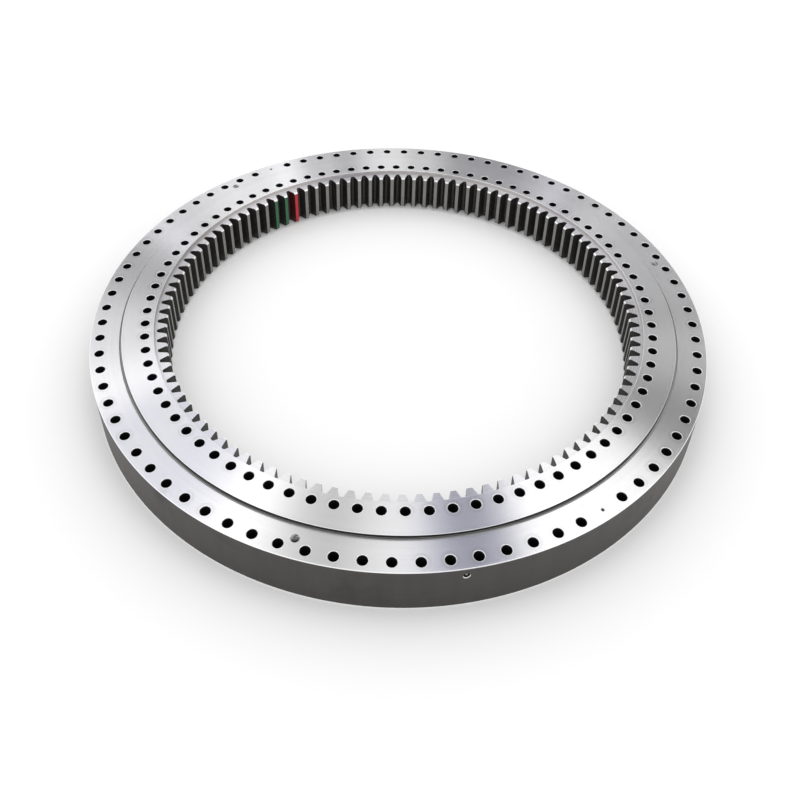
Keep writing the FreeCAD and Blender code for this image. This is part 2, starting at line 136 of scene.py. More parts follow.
class Wiring:
    """Adds nodes to one node tree and joins them."""

    def __init__(self, tree: bpy.types.NodeTree) -> None:
        """Keep the tree that the nodes go into."""
        self.tree = tree

    def node(self, kind: str, **settings: object) -> bpy.types.Node:
        """Add a node.

        Args:
            kind: Node type name, without its "ShaderNode" prefix.
            settings: Attributes to set on the node.

        Returns:
            The new node.
        """
        made = self.tree.nodes.new("ShaderNode" + kind)
        for name, value in settings.items():
            setattr(made, name, value)
        return made

    def feed(self, socket: bpy.types.NodeSocket, value: object) -> None:
        """Join an output to an input, or set the input's value.

        Args:
            socket: The input.
            value: An output socket, a number or a tuple.
        """
        if isinstance(value, bpy.types.NodeSocket):
            self.tree.links.new(value, socket)
        else:
            socket.default_value = value

    def maths(self, operation: str, *values: object) -> bpy.types.NodeSocket:
        """Add one Math node.

        Args:
            operation: The node's operation.
            values: Its inputs in turn.

        Returns:
            The result.
        """
        made = self.node("Math", operation=operation)
        for socket, value in zip(made.inputs, values):
            self.feed(socket, value)
        return made.outputs[0]

    def span(self, value: object, low: object, high: object) -> bpy.types.NodeSocket:
        """Give a smooth step of a value.

        Args:
            value: The value.
            low: Where the step leaves 0.
            high: Where it reaches 1.

        Returns:
            The step.
        """
        made = self.node("MapRange", interpolation_type="SMOOTHSTEP")
        for socket, number in zip(made.inputs, (value, low, high)):
            self.feed(socket, number)
        return made.outputs[0]

    def blend(self, *shares: tuple[bpy.types.NodeSocket, float]) -> bpy.types.NodeSocket:
        """Add up values, each multiplied by its share."""
        total: object = 0.0
        for value, share in shares:
            total = self.maths("MULTIPLY_ADD", value, share, total)
        return total

    def tint(self, factor: object, first: object, second: object) -> bpy.types.NodeSocket:
        """Mix two colours.

        Args:
            factor: 0 gives the first, 1 the second.
            first: Colour or output.
            second: Colour or output.

        Returns:
            The mixed colour.
        """
        made = self.node("Mix", data_type="RGBA")
        self.feed(made.inputs[0], factor)
        for socket, colour in ((made.inputs[6], first), (made.inputs[7], second)):
            self.feed(socket, (*colour, 1.0) if isinstance(colour, tuple) else colour)
        return made.outputs[2]

    def noise(
        self, scale: object, detail: float, vector: object = None, line: object = None
    ) -> bpy.types.NodeSocket:
        """Add a noise, in three dimensions, or in one along a line.

        Args:
            scale: Its scale.
            detail: Its octaves.
            vector: Where it is read, in three dimensions.
            line: Where it is read, in one dimension.

        Returns:
            The noise value.
        """
        made = self.node("TexNoise", noise_dimensions="3D" if line is None else "1D")
        self.feed(made.inputs["Scale"], scale)
        self.feed(made.inputs["Detail"], detail)
        if vector is not None:
            self.feed(made.inputs["Vector"], vector)
        if line is not None:
            self.feed(made.inputs["W"], line)
        return made.outputs[0]

    def place(self) -> tuple[bpy.types.NodeSocket, ...]:
        """Give the object-space point, and its x, y and z."""
        point = self.node("TexCoord").outputs["Object"]
        parts = self.node("SeparateXYZ")
        self.feed(parts.inputs[0], point)
        return (point, *parts.outputs)

    def radius(self, x: object, y: object) -> bpy.types.NodeSocket:
        """Distance from the bearing axis."""
        squares = self.maths("ADD", self.maths("MULTIPLY", x, x), self.maths("MULTIPLY", y, y))
        return self.maths("SQRT", squares)


def effect(
    name: str, inputs: dict[str, float], outputs: tuple[str, ...]
) -> tuple[Wiring, bpy.types.Node, bpy.types.Node]:
    """Start a node group for an effect that several finishes share.

    Args:
        name: The group's name.
        inputs: Its inputs and their usual values.
        outputs: Its outputs.

    Returns:
        The group's wiring, its input node and its output node.
    """
    tree = bpy.data.node_groups.new(name, "ShaderNodeTree")
    for label, value in inputs.items():
        socket = tree.interface.new_socket(label, in_out="INPUT", socket_type="NodeSocketFloat")
        socket.default_value = value
    for label in outputs:
        tree.interface.new_socket(label, in_out="OUTPUT", socket_type="NodeSocketFloat")
    wiring = Wiring(tree)
    return wiring, tree.nodes.new("NodeGroupInput"), tree.nodes.new("NodeGroupOutput")


class Effects:
    """The shared surface effects, each a node group built once."""

    def __init__(self) -> None:
        """Build every group."""
        self.groups = {
            "lathe_lines": self._lathe_lines(),
            "film": self._film(),
            "grain": self._grain(),
            "hole_marks_and_highlight": self._hole_marks_and_highlight(),
            "streaks": self._streaks(),
        }

    def add(self, wiring: Wiring, name: str, **values: float) -> bpy.types.Node:
        """Place a group in a material.

        Args:
            wiring: The material's wiring.
            name: The group's key.
            values: Its input values, with spaces as underscores.

        Returns:
            The group node.
        """
        made = wiring.node("Group", node_tree=self.groups[name])
        for label, value in values.items():
            made.inputs[label.replace("_", " ")].default_value = value
        return made

    def _lathe_lines(self) -> bpy.types.NodeTree:
        """Fine concentric lines that turning and grinding leave round the axis."""
        w, into, out = effect(
            "Lathe lines", {"Per metre": 900.0, "Broad": 60.0}, ("Fine", "Broad", "Height")
        )
        _, x, y, z = w.place()
        depth = w.maths("ADD", w.radius(x, y), z)
        fine = w.noise(1.0, 2.0, line=w.maths("MULTIPLY", depth, into.outputs["Per metre"]))
        broad = w.noise(1.0, 1.0, line=w.maths("MULTIPLY", depth, into.outputs["Broad"]))
        w.feed(out.inputs["Fine"], w.span(fine, 0.3, 0.7))
        w.feed(out.inputs["Broad"], w.span(broad, 0.3, 0.7))
        w.feed(out.inputs["Height"], w.blend((fine, 1.0), (broad, 0.5)))
        return w.tree

    def _film(self) -> bpy.types.NodeTree:
        """Irregular patches of oil, finger marks and wiped smears."""
        w, into, out = effect("Oil film", {"Scale": 6.0, "Cover": 0.5}, ("Mask",))
        point = w.place()[0]
        drift = w.noise(w.maths("MULTIPLY", into.outputs["Scale"], 3.0), 3.0, point)
        large = w.noise(into.outputs["Scale"], 4.0, point)
        mixed = w.blend((large, 0.75), (drift, 0.25))
        start = w.maths("SUBTRACT", 0.85, w.maths("MULTIPLY", into.outputs["Cover"], 0.5))
        w.feed(out.inputs["Mask"], w.span(mixed, start, w.maths("ADD", start, 0.18)))
        return w.tree

    def _grain(self) -> bpy.types.NodeTree:
        """Even fine grain of cast, rubber or moulded skin."""
        w, into, out = effect("Grain", {"Scale": 400.0}, ("Value", "Height"))
        point = w.place()[0]
        value = w.noise(into.outputs["Scale"], 4.0, point)
        w.feed(out.inputs["Value"], w.span(value, 0.3, 0.7))
        w.feed(out.inputs["Height"], value)
        return w.tree

    def _hole_marks_and_highlight(self) -> bpy.types.NodeTree:
        """Round tool marks about every hole of a bolt circle, and a painted highlight ring at each
        hole's mouth.
        """
        w, into, out = effect(
            "Hole marks and highlight",
            {
                "Circle": 0.9325, "Pitch": 0.0748, "First": 0.0, "Hole": 0.013, "Reach": 0.016,
                "Plain": 0.0,
            },
            ("Ring", "Marks"),
        )
        _, x, y, _ = w.place()
        radius = w.radius(x, y)
        turn = w.maths("SUBTRACT", w.maths("ARCTAN2", y, x), into.outputs["First"])
        half = w.maths("MULTIPLY", into.outputs["Pitch"], 0.5)
        local = w.maths("WRAP", turn, half, w.maths("MULTIPLY", half, -1.0))
        across = w.maths("MULTIPLY", local, into.outputs["Circle"])
        along = w.maths("SUBTRACT", radius, into.outputs["Circle"])
        away = w.radius(across, along)
        beyond = w.maths("SUBTRACT", away, into.outputs["Hole"])
        near = w.maths("SUBTRACT", 1.0, w.maths("DIVIDE", beyond, into.outputs["Reach"]))
        beside = w.maths("SUBTRACT", w.maths("ABSOLUTE", y), into.outputs["Plain"])
        drilled = w.span(beside, 0.0, 0.002)
        # Ring: a painted highlight just round each countersink.
        w.feed(out.inputs["Ring"], w.maths("MULTIPLY", w.span(near, 0.80, 0.88), drilled))
        swirl = w.noise(1.0, 1.0, line=w.maths("MULTIPLY", away, 700.0))
        patch = w.noise(5.0, 1.0, w.place()[0])
        marks = w.maths("MULTIPLY", w.span(near, 0.0, 0.5), w.span(swirl, 0.45, 0.65))
        marks = w.maths("MULTIPLY", marks, drilled)
        w.feed(out.inputs["Marks"], w.maths("MULTIPLY", marks, w.span(patch, 0.5, 0.62)))
        return w.tree

    def _streaks(self) -> bpy.types.NodeTree:
        """Upright wipe streaks on a round wall, long along the axis and narrow round it."""
        w, into, out = effect("Wipe streaks", {"Around": 40.0, "Along": 6.0}, ("Value",))
        point = w.place()[0]
        stretch = w.node("Mapping")
        w.feed(stretch.inputs["Vector"], point)
        joined = w.node("CombineXYZ")
        w.feed(joined.inputs[0], into.outputs["Around"])
        w.feed(joined.inputs[1], into.outputs["Around"])
        w.feed(joined.inputs[2], into.outputs["Along"])
        w.feed(stretch.inputs["Scale"], joined.outputs[0])
        w.feed(out.inputs["Value"], w.span(w.noise(1.0, 3.0, stretch.outputs[0]), 0.3, 0.7))
        return w.tree


# ------------------------------------------------------------------ finishes


@dataclass(frozen=True)
class SteelFinish:
    """Bare steel with machining lines, an oil film and, round bolt holes, tool marks and a painted
    highlight ring.
    """

    name: str
    colour: Colour
    shade: Colour
    roughness: float
    metallic: float = 1.0
    anisotropy: float = 0.0
    lines_per_metre: float = 900.0
    line_contrast: float = 0.3
    line_depth: float = 0.00002
    film: float = 0.3
    film_scale: float = 6.0
    film_colour: Colour = (0.45, 0.44, 0.42)
    film_strength: float = 0.35
    dulling: float = 0.12
    streaks: float = 0.0
    hole_circle: float = 0.0
    hole_first: float = 0.0
    plain: float = 0.0
    # Painted highlight ring round each bolt hole: its strength and colour.
    highlight_ring: float = 0.75
    highlight_ring_colour: Colour = (0.95, 0.95, 0.96)
    tool_marks: float = 0.4

    def material(self, effects: Effects) -> bpy.types.Material:
        """Build the material.

        Args:
            effects: The shared node groups.

        Returns:
            The material.
        """
        made, w, shader = blank_material(self.name)
        shader.inputs["Metallic"].default_value = self.metallic
        lines = effects.add(w, "lathe_lines", Per_metre=self.lines_per_metre)
        film = effects.add(w, "film", Scale=self.film_scale, Cover=self.film)
        shade = w.maths("MULTIPLY", lines.outputs["Fine"], self.line_contrast)
        lined = w.blend((shade, 1.0), (lines.outputs["Broad"], self.line_contrast * 0.6))
        colour = w.tint(lined, self.colour, self.shade)
        if self.streaks > 0.0:
            streaks = effects.add(w, "streaks")
            amount = w.maths("MULTIPLY", streaks.outputs["Value"], self.streaks)
            colour = w.tint(amount, colour, self.shade)
        amount = w.maths("MULTIPLY", film.outputs["Mask"], self.film_strength)
        colour = w.tint(amount, colour, self.film_colour)
        dulled = w.blend((shade, self.dulling), (film.outputs["Mask"], self.dulling))
        rough = w.maths("ADD", self.roughness, dulled)
        if self.hole_circle > 0.0:
            swirl = effects.add(
                w, "hole_marks_and_highlight", Circle=self.hole_circle, First=self.hole_first, Plain=self.plain,
            )
            # Round bolt holes: a near-white, less metallic painted highlight ring, and tool marks.
            ring = w.maths("MULTIPLY", swirl.outputs["Ring"], self.highlight_ring)
            marks = w.maths("MULTIPLY", swirl.outputs["Marks"], self.tool_marks)
            colour = w.tint(marks, w.tint(ring, colour, self.highlight_ring_colour), self.film_colour)
            w.feed(shader.inputs["Metallic"], w.maths("SUBTRACT", self.metallic, ring))
        w.feed(shader.inputs["Base Color"], colour)
        w.feed(shader.inputs["Roughness"], rough)
        if self.anisotropy > 0.0:
            shader.inputs["Anisotropic"].default_value = self.anisotropy
            shader.inputs["Anisotropic Rotation"].default_value = 0.25
            round_axis = w.node("Tangent", direction_type="RADIAL", axis="Z")
            w.feed(shader.inputs["Tangent"], round_axis.outputs[0])
        add_bump(w, shader, lines.outputs["Height"], self.line_depth)
        return made


@dataclass(frozen=True)
class SkinFinish:
    """Paint, rubber or moulded plastic with a fine grain."""

    name: str
    colour: Colour
    shade: Colour
    roughness: float
    metallic: float = 0.0
    coat: float = 0.0
    grain_scale: float = 400.0
    grain_depth: float = 0.0001
    mottling: float = 0.4
    film: float = 0.5
    film_scale: float = 14.0
    dulling: float = 0.1

    def material(self, effects: Effects) -> bpy.types.Material:
        """Build the material.

        Args:
            effects: The shared node groups.

        Returns:
            The material.
        """
        made, w, shader = blank_material(self.name)
        grain = effects.add(w, "grain", Scale=self.grain_scale)
        film = effects.add(w, "film", Scale=self.film_scale, Cover=self.film)
        mask = film.outputs["Mask"]
        mottle = w.blend((grain.outputs["Value"], self.mottling), (mask, self.mottling))
        w.feed(shader.inputs["Base Color"], w.tint(mottle, self.colour, self.shade))
        rough = w.maths("MULTIPLY_ADD", mask, self.dulling, self.roughness)
        w.feed(shader.inputs["Roughness"], rough)
        shader.inputs["Metallic"].default_value = self.metallic
        shader.inputs["Coat Weight"].default_value = self.coat
        add_bump(w, shader, grain.outputs["Height"], self.grain_depth)
        return made


def blank_material(name: str) -> tuple[bpy.types.Material, Wiring, bpy.types.Node]:
    """Make a material with its shader.

    Args:
        name: The material's name.

    Returns:
        The material, its wiring and its shader node.
    """
    made = bpy.data.materials.new(name)
    made.use_nodes = True
    shader = made.node_tree.nodes["Principled BSDF"]
    return made, Wiring(made.node_tree), shader


def add_bump(w: Wiring, shader: bpy.types.Node, height: bpy.types.NodeSocket, depth: float) -> None:
    """Feed the shader's normal from a height.

    Args:
        w: The material's wiring.
        shader: The shader node.
        height: The height value.
        depth: The relief's depth.
    """
    bump = w.node("Bump")
    bump.inputs["Strength"].default_value = 0.5
    bump.inputs["Distance"].default_value = depth
    w.feed(bump.inputs["Height"], height)
    w.feed(shader.inputs["Normal"], bump.outputs[0])


BOLT_PITCH = math.tau / 84

FINISHES = (
    SteelFinish(
        "outer_ground_face", (0.90, 0.90, 0.90), (0.78, 0.78, 0.79), 0.22,
        anisotropy=1.0, film=0.45, film_strength=0.5, hole_circle=0.9325, plain=0.035,
    ),
    SteelFinish(
        "inner_ground_face", (0.92, 0.92, 0.92), (0.80, 0.80, 0.81), 0.22,
        anisotropy=1.0, film=0.45, film_strength=0.5, hole_circle=0.799,
        hole_first=BOLT_PITCH / 2,
    ),
    # Painted reflection: the rim's near-black colour stands for the dark surroundings mirrored in
    # it; the oil film and wipe streaks on it are marks.
    SteelFinish(
        "rim_painted_reflection", (0.062, 0.057, 0.053), (0.044, 0.040, 0.037), 0.46, metallic=0.55,
        lines_per_metre=500.0, line_depth=0.00004, film=0.6, film_colour=(0.040, 0.037, 0.034),
        film_strength=0.5, streaks=0.5,
    ),
    # Painted shade: the ring walls that face each other across the seal gap are near-black to stand
    # for the shadow in the gap.
    SteelFinish(
        "shaded_wall", (0.035, 0.034, 0.034), (0.02, 0.02, 0.02), 0.4, metallic=0.6,
        lines_per_metre=400.0, film_colour=(0.02, 0.02, 0.02),
    ),
    # Painted shade: hole walls, bores and recesses are near-black to stand for the shade inside
    # them.
    SteelFinish(
        "shaded_hole_wall", (0.05, 0.05, 0.055), (0.02, 0.02, 0.022), 0.45, metallic=0.8,
        lines_per_metre=300.0, line_contrast=0.8, film_colour=(0.03, 0.03, 0.03),
    ),
    # Painted highlight: chamfers, countersink mouths and port lips get a near-white, half-metallic
    # colour that stands for the glint on these edges.
    SteelFinish(
        "painted_highlight_edge", (0.95, 0.95, 0.95), (0.88, 0.88, 0.89), 0.28, metallic=0.4, film=0.1,
    ),
    SteelFinish(
        "tooth_end", (0.90, 0.90, 0.91), (0.78, 0.78, 0.80), 0.26, anisotropy=1.0,
        lines_per_metre=700.0, film=0.2,
    ),
    SteelFinish("register_wall", (0.52, 0.49, 0.48), (0.36, 0.34, 0.33), 0.35, metallic=0.6),
    SteelFinish("seal_track", (0.42, 0.42, 0.42), (0.30, 0.30, 0.30), 0.3, metallic=0.6),
    # Painted shade: tooth flanks are near-black to stand for the shade in the tooth spaces; wipe
    # streaks and oil film on them are marks.
    SteelFinish(
        "shaded_tooth_flank", (0.050, 0.047, 0.043), (0.026, 0.024, 0.022), 0.42, metallic=0.5,
        lines_per_metre=220.0, line_contrast=0.7, film=0.6, film_colour=(0.05, 0.047, 0.042),
        streaks=0.5,
    ),
    SteelFinish(
        "tooth_tip", (0.24, 0.24, 0.23), (0.15, 0.15, 0.145), 0.42, metallic=0.75,
        lines_per_metre=500.0, film=0.4, film_colour=(0.12, 0.115, 0.11),
    ),
    # Painted highlight and shade: bright and near-black stripes across the lifting threads stand
    # for the glint on the thread flanks and the shade between them.
    SteelFinish(
        "thread_painted_stripes", (0.88, 0.88, 0.88), (0.03, 0.03, 0.03), 0.3, metallic=0.8,
        lines_per_metre=300.0, line_contrast=0.8, film=0.2,
    ),
    SteelFinish("raceway", (0.72, 0.72, 0.73), (0.55, 0.55, 0.56), 0.2, film=0.5),
    SteelFinish("pin_end", (0.30, 0.30, 0.30), (0.12, 0.12, 0.12), 0.35, lines_per_metre=1500.0),
    SteelFinish("zinc_plate", (0.46, 0.45, 0.42), (0.3, 0.3, 0.28), 0.32, film=0.3),
    SteelFinish("bearing_ball", (0.80, 0.80, 0.82), (0.7, 0.7, 0.72), 0.08, line_contrast=0.05),
    SkinFinish("seal_rubber", (0.36, 0.355, 0.35), (0.26, 0.255, 0.25), 0.5),
    SkinFinish("cage_nylon", (0.78, 0.74, 0.62), (0.66, 0.62, 0.5), 0.5, mottling=0.25),
    SkinFinish("red_paint", (0.46, 0.006, 0.014), (0.34, 0.004, 0.010), 0.5, coat=0.1),
    # Painted shade: the red mark paint on the tooth's flank, as a darkened copy of the red paint.
    SkinFinish("shaded_red_paint", (0.045, 0.004, 0.005), (0.03, 0.004, 0.004), 0.5),
    SkinFinish("green_paint", (0.010, 0.115, 0.043), (0.008, 0.085, 0.03), 0.5, coat=0.1),
)


class Shop:
    """Builds the finishes once and hands them out by name."""

    def __init__(self) -> None:
        """Build the effects and every finish."""
        effects = Effects()
        self.materials = {finish.name: finish.material(effects) for finish in FINISHES}

    def dress(self, piece: bpy.types.Object, *names: str) -> None:
        """Give a piece its materials, in the order of its face indices."""
        if piece.data.materials:
            piece.data.materials.clear()
        for name in names:
            piece.data.materials.append(self.materials[name])

    def dress_by_kind(self, piece: bpy.types.Object, kinds: type[IntEnum]) -> None:
        """Give a piece the finish of every kind of face."""
        self.dress(piece, *(kind.name.lower() for kind in kinds))


# ------------------------------------------------------------------ mesh tools


class Section:
    """A cross-section drawn in the XZ plane as one loop, then spun about the axis."""

    def __init__(self, *corners: tuple[float, float]) -> None:
        """Start the loop with its first corners, each a radius and a height."""
        self.bm = bmesh.new()
        self.first: bmesh.types.BMVert | None = None
        self.last: bmesh.types.BMVert | None = None
        self.line(*corners)

    def line(self, *corners: tuple[float, float]) -> "Section":
        """Add straight edges to the corners in turn."""
        for radius, height in corners:
            vert = self.bm.verts.new((radius, 0.0, height))
            if self.last is None:
                self.first = vert
            else:
                self.bm.edges.new((self.last, vert))
            self.last = vert
        return self

    def arc(self, radius: float, height: float, degrees: float, steps: int) -> "Section":
        """Add an arc from the last corner.

        Args:
            radius: Radius of the arc's centre.
            height: Height of the arc's centre.
            degrees: Sweep, positive from +X towards +Z.
            steps: Number of edges.

        Returns:
            The section itself.
        """
        swept = bmesh.ops.spin(
            self.bm, geom=[self.last], cent=(radius, 0.0, height), axis=(0.0, 1.0, 0.0),
            angle=-math.radians(degrees), steps=steps,
        )
        self.last = next(g for g in swept["geom_last"] if isinstance(g, bmesh.types.BMVert))
        return self

    def spun(self, steps: int, closed: bool = True) -> bmesh.types.BMesh:
        """Spin the section into a full ring.

        Args:
            steps: Number of steps round the axis.
            closed: Whether the last corner joins the first.

        Returns:
            The ring.
        """
        if closed:
            self.bm.edges.new((self.last, self.first))
        bmesh.ops.spin(
            self.bm, geom=self.bm.verts[:] + self.bm.edges[:], cent=CENTRE, axis=AXIS,
            angle=math.tau, steps=steps, use_merge=True,
        )
        tidy(self.bm)
        return self.bm


def tidy(bm: bmesh.types.BMesh) -> None:
    """Merge doubles and turn every face outwards."""
    bmesh.ops.remove_doubles(bm, verts=bm.verts, dist=1e-7)
    bmesh.ops.recalc_face_normals(bm, faces=bm.faces)


def repeat(bm: bmesh.types.BMesh, angles: list[float]) -> None:
    """Replace what the mesh holds by a turned copy at each angle about the bearing axis."""
    original = bm.verts[:] + bm.edges[:] + bm.faces[:]
    for angle in angles:
        copy = bmesh.ops.duplicate(bm, geom=original)["geom"]
        verts = [g for g in copy if isinstance(g, bmesh.types.BMVert)]
        bmesh.ops.rotate(bm, verts=verts, cent=CENTRE, matrix=Matrix.Rotation(angle, 3, "Z"))
    bmesh.ops.delete(bm, geom=[g for g in original if isinstance(g, bmesh.types.BMVert)])


def turn_to_radius(bm: bmesh.types.BMesh, height: float, angle: float) -> None:
    """Lay a mesh built along +Z out along a radius, at a height and an angle."""
    turn = Matrix.Rotation(angle, 4, "Z") @ Matrix.Translation((0.0, 0.0, height))
    bmesh.ops.transform(bm, verts=bm.verts, matrix=turn @ Matrix.Rotation(math.pi / 2, 4, "Y"))


def to_object(name: str, bm: bmesh.types.BMesh) -> bpy.types.Object:
    """Turn a bmesh into a linked object and free it."""
    mesh = bpy.data.meshes.new(name)
    bm.to_mesh(mesh)
    bm.free()
    made = bpy.data.objects.new(name, mesh)
    bpy.context.scene.collection.objects.link(made)
    return made


def carve(
    body: bpy.types.Object, tools: list[bmesh.types.BMesh], operation: str = "DIFFERENCE"
) -> None:
    """Cut a piece with closed tools and apply the result to its mesh.

    Args:
        body: The piece.
        tools: Closed meshes that don't touch each other, freed here.
        operation: DIFFERENCE or INTERSECT.
    """
    joined = bmesh.new()
    for tool in tools:
        part = bpy.data.meshes.new("tool")
        tool.to_mesh(part)
        tool.free()
        joined.from_mesh(part)
        bpy.data.meshes.remove(part)
    cutter = to_object("cutter", joined)
    cut = body.modifiers.new("cut", "BOOLEAN")
    cut.operation = operation
    cut.solver = "EXACT"
    cut.object = cutter
    graph = bpy.context.evaluated_depsgraph_get()
    result = bpy.data.meshes.new_from_object(body.evaluated_get(graph))
    body.modifiers.clear()
    old = body.data
    body.data = result
    bpy.data.meshes.remove(old)
    cutter_mesh = cutter.data
    bpy.data.objects.remove(cutter)
    bpy.data.meshes.remove(cutter_mesh)


def sort_faces(
    piece: bpy.types.Object, rule: Callable[[Vector, Vector], int] | None = None
) -> None:
    """Smooth the round walls and set every face's material index.

    Args:
        piece: The piece.
        rule: Gives an index from a face's centre and normal, where there are several.
    """
    for face in piece.data.polygons:
        face.use_smooth = True
        if rule:
            face.material_index = rule(face.center, face.normal)
    piece.data.set_sharp_from_angle(angle=SMOOTH_ANGLE)


def finish_piece(
    piece: bpy.types.Object, body: Body, slot: Slot, *nodes: str
) -> bpy.types.Object:
    """Put a piece on its body and hide the CAD nodes that it stands for."""
    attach(piece, body.value)
    if nodes:
        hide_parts(*nodes)
    log.info("%s: %d faces", piece.name, len(piece.data.polygons))
    return piece


# ------------------------------------------------------------------ sizes


@dataclass(frozen=True)
class Raceway:
    """One row's balls and the pointed-arch grooves they run in."""

    height: float
    pitch_radius: float = 0.871
    ball_radius: float = 0.020
    groove_radius: float = 0.0212
    clearance: float = 0.0007
    steps: int = 5
    reach: float = 0.0205

    def beside(self, height: float) -> bool:
        """Whether a height lies within the groove."""
        return abs(height - self.height) < self.reach

    def cut_into(self, section: Section, side: int, wall: float, upward: bool) -> None:
        """Draw the groove into a ring's section, from one lip over the apex to the other.

        Args:
            section: The section, which gets the first lip too.
            side: 1 for the outer ring's groove, -1 for the inner ring's.
            wall: Radius of the wall it is cut into.
            upward: Whether the section runs upwards there.
        """
        shift = (self.groove_radius - self.ball_radius - self.clearance) * math.sqrt(0.5)
        centre = self.pitch_radius - side * shift
        apex_lean = math.asin(shift / self.groove_radius)
        lip_lean = math.acos(abs(wall - centre) / self.groove_radius)
        sweep = math.degrees(lip_lean - apex_lean)
        way = 1 if upward else -1
        lip = math.sin(lip_lean) * self.groove_radius - shift
        section.line((wall, self.height - way * lip))
        section.arc(centre, self.height + way * shift, side * way * sweep, self.steps)
        section.arc(centre, self.height - way * shift, side * way * sweep, self.steps)


UPPER_ROW = Raceway(0.109)
LOWER_ROW = Raceway(0.051)


@dataclass(frozen=True)
class BoltCircle:
    """A circle of through holes on even positions, some of them left without a hole."""

    radius: float
    first: float
    skipped: tuple[int, ...] = ()
    positions: int = 84
    hole: float = 0.013
    # Radius out to which a countersink is coloured as painted shade; beyond it the countersink
    # takes the painted highlight.
    painted_shade: float = 0.0141
    chamfer: float = 0.002
    sides: int = 40

    def mouth(self) -> float:
        """Radius of the countersink at the face."""
        return self.hole + self.chamfer

    def angles(self) -> list[float]:
        """Angles of the positions that carry a hole."""
        pitch = math.tau / self.positions
        return [self.first + n * pitch for n in range(self.positions) if n not in self.skipped]

    def drills(self, low: float, high: float) -> bmesh.types.BMesh:
        """Closed drill shapes through a ring, with a countersink at each face."""
        over = 0.001
        wide = self.mouth()
        # The countersink gets a corner where its painted shade ends and its painted highlight
        # begins.
        painted_shade = self.painted_shade - self.hole
        section = Section(
            (0.0, low - over), (wide + over, low - over), (self.painted_shade, low + self.chamfer - painted_shade),
            (self.hole, low + self.chamfer), (self.hole, high - self.chamfer),
            (self.painted_shade, high - self.chamfer + painted_shade), (wide + over, high + over), (0.0, high + over),
        )
        bm = section.spun(self.sides, closed=False)
        bmesh.ops.translate(bm, verts=bm.verts, vec=(self.radius, 0.0, 0.0))
        repeat(bm, self.angles())
        return bm

    def away(self, point: Vector) -> float:
        """Distance from a point to the nearest position's axis, seen along the bearing axis."""
        pitch = math.tau / self.positions
        turn = math.atan2(point.y, point.x) - self.first
        turn -= round(turn / pitch) * pitch
        radius = math.hypot(point.x, point.y)
        return math.hypot(radius * math.cos(turn) - self.radius, radius * math.sin(turn))


RING_STEPS = 504


@dataclass(frozen=True)
class TaperPin:
    """The taper pin that holds a filler plug, and the reamed bore that it is driven into."""

    circle: float = 0.9325
    radius: float = 0.005
    taper: float = 0.01
    clearance: float = 0.00005
    sink: float = 0.0003
    overrun: float = 0.008
    thread: float = 0.0025
    thread_depth: float = 0.014
    bevel: float = 0.0006

    def bore(self, top: float, low: float, angle: float) -> bmesh.types.BMesh:
        """Closed reamer shape, from a ring's top face down past the plug."""
        over = 0.001
        wide = self.radius + self.clearance
        foot = wide - self.taper * (top - low)
        section = Section((0.0, low - self.clearance), (foot, low - self.clearance))
        section.line((wide, top), (wide, top + over), (0.0, top + over))
        return self._placed(section, angle)

    def body(self, face: float, low: float, angle: float) -> bmesh.types.BMesh:
        """The pin, with bevelled ends and its drawing thread."""
        top = face - self.sink
        foot = self.radius - self.taper * (top - low)
        section = Section(
            (0.0, low), (foot - self.bevel, low), (foot, low + self.bevel),
            (self.radius, top - self.bevel), (self.radius - self.bevel, top),
            (self.thread + self.bevel, top), (self.thread, top - self.bevel),
            (self.thread, top - self.thread_depth), (0.0, top - self.thread_depth - 0.001),
        )
        return self._placed(section, angle)

    def _placed(self, section: Section, angle: float) -> bmesh.types.BMesh:
        """Spin a section about its own axis and set it on the bolt circle."""
        bm = section.spun(32, closed=False)
        bmesh.ops.translate(bm, verts=bm.verts, vec=(self.circle, 0.0, 0.0))
        bmesh.ops.rotate(bm, verts=bm.verts, cent=CENTRE, matrix=Matrix.Rotation(angle, 3, "Z"))
        return bm


# ------------------------------------------------------------------ outer ring


